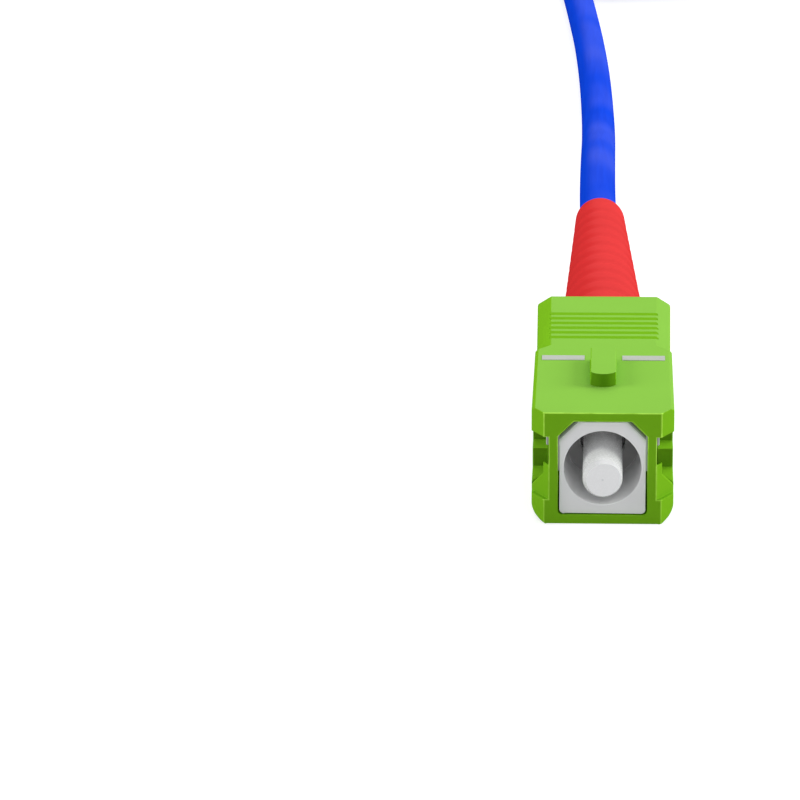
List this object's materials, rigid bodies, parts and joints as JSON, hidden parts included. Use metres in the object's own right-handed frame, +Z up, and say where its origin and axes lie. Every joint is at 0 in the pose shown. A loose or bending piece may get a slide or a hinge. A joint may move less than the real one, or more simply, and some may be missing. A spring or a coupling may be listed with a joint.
{
  "type": "fibre optic connector",
  "caption": "Push-pull fibre connector with a sliding green grip housing, sprung ceramic ferrule, white plug frame, red boot and a blue cord stored in a tied hank.",
  "frame": {"origin": "centre of the connector's footprint, from ferrule tip to boot tip, on the surface it lies on", "axes": "+Y back along the connector's axis to the cord, ferrule pointing to -Y, +Z up on the key's side"},
  "size_m": [0.0257, 0.2174, 0.0169],
  "materials": {
    "green_plastic": "moulded, semi-gloss",
    "white_print": "printed ink",
    "white_plastic": "moulded, semi-gloss",
    "zirconia": "polished",
    "glass_core": "polished",
    "nickel": "nickel plated",
    "spring_steel": "drawn wire",
    "yarn": "loose fibre",
    "buffer": "extruded",
    "red_boot": "soft moulded",
    "blue_jacket": "extruded, satin",
    "blue_plastic": "moulded, semi-gloss",
    "strap": "woven"
  },
  "bodies": {
    "core": {"plug_frame": "white_plastic", "stop_ring": "nickel", "aramid_yarn": "yarn", "crimp_sleeve": "nickel", "boot": "red_boot", "ferrule_spring": "spring_steel", "cord": "blue_jacket", "cord_hank": "blue_jacket", "hank_tie": "strap", "cord_tail": "blue_jacket", "lc_plug_body": "blue_plastic", "lc_rear_body": "blue_plastic", "lc_spring": "spring_steel", "lc_crimp_sleeve": "nickel", "lc_boot": "red_boot"},
    "housing": {"outer_housing": "green_plastic", "insertion_marks": "white_print"},
    "ferrule_set": {"ferrule": "zirconia", "glass_fibre": "glass_core", "ferrule_flange": "nickel", "buffered_fibre": "buffer"},
    "lc_ferrule_set": {"lc_ferrule": "zirconia", "lc_flange": "nickel"}
  },
  "joints": [
    {"name": "housing_slide", "type": "slide", "parent": "core", "child": "housing", "axis": [0, 1, 0], "range_m": [0, 0.002]},
    {"name": "ferrule_float", "type": "slide", "parent": "core", "child": "ferrule_set", "axis": [0, 1, 0], "range_m": [0, 0.0012], "stiffness_N_per_m": 2500, "springref_m": -0.0036, "deforming": ["ferrule_spring"]},
    {"name": "lc_ferrule_float", "type": "slide", "parent": "core", "child": "lc_ferrule_set", "axis": [0, 1, 0], "range_m": [0, 0.001], "stiffness_N_per_m": 2000, "springref_m": -0.0025, "deforming": ["lc_spring"]}
  ]
}
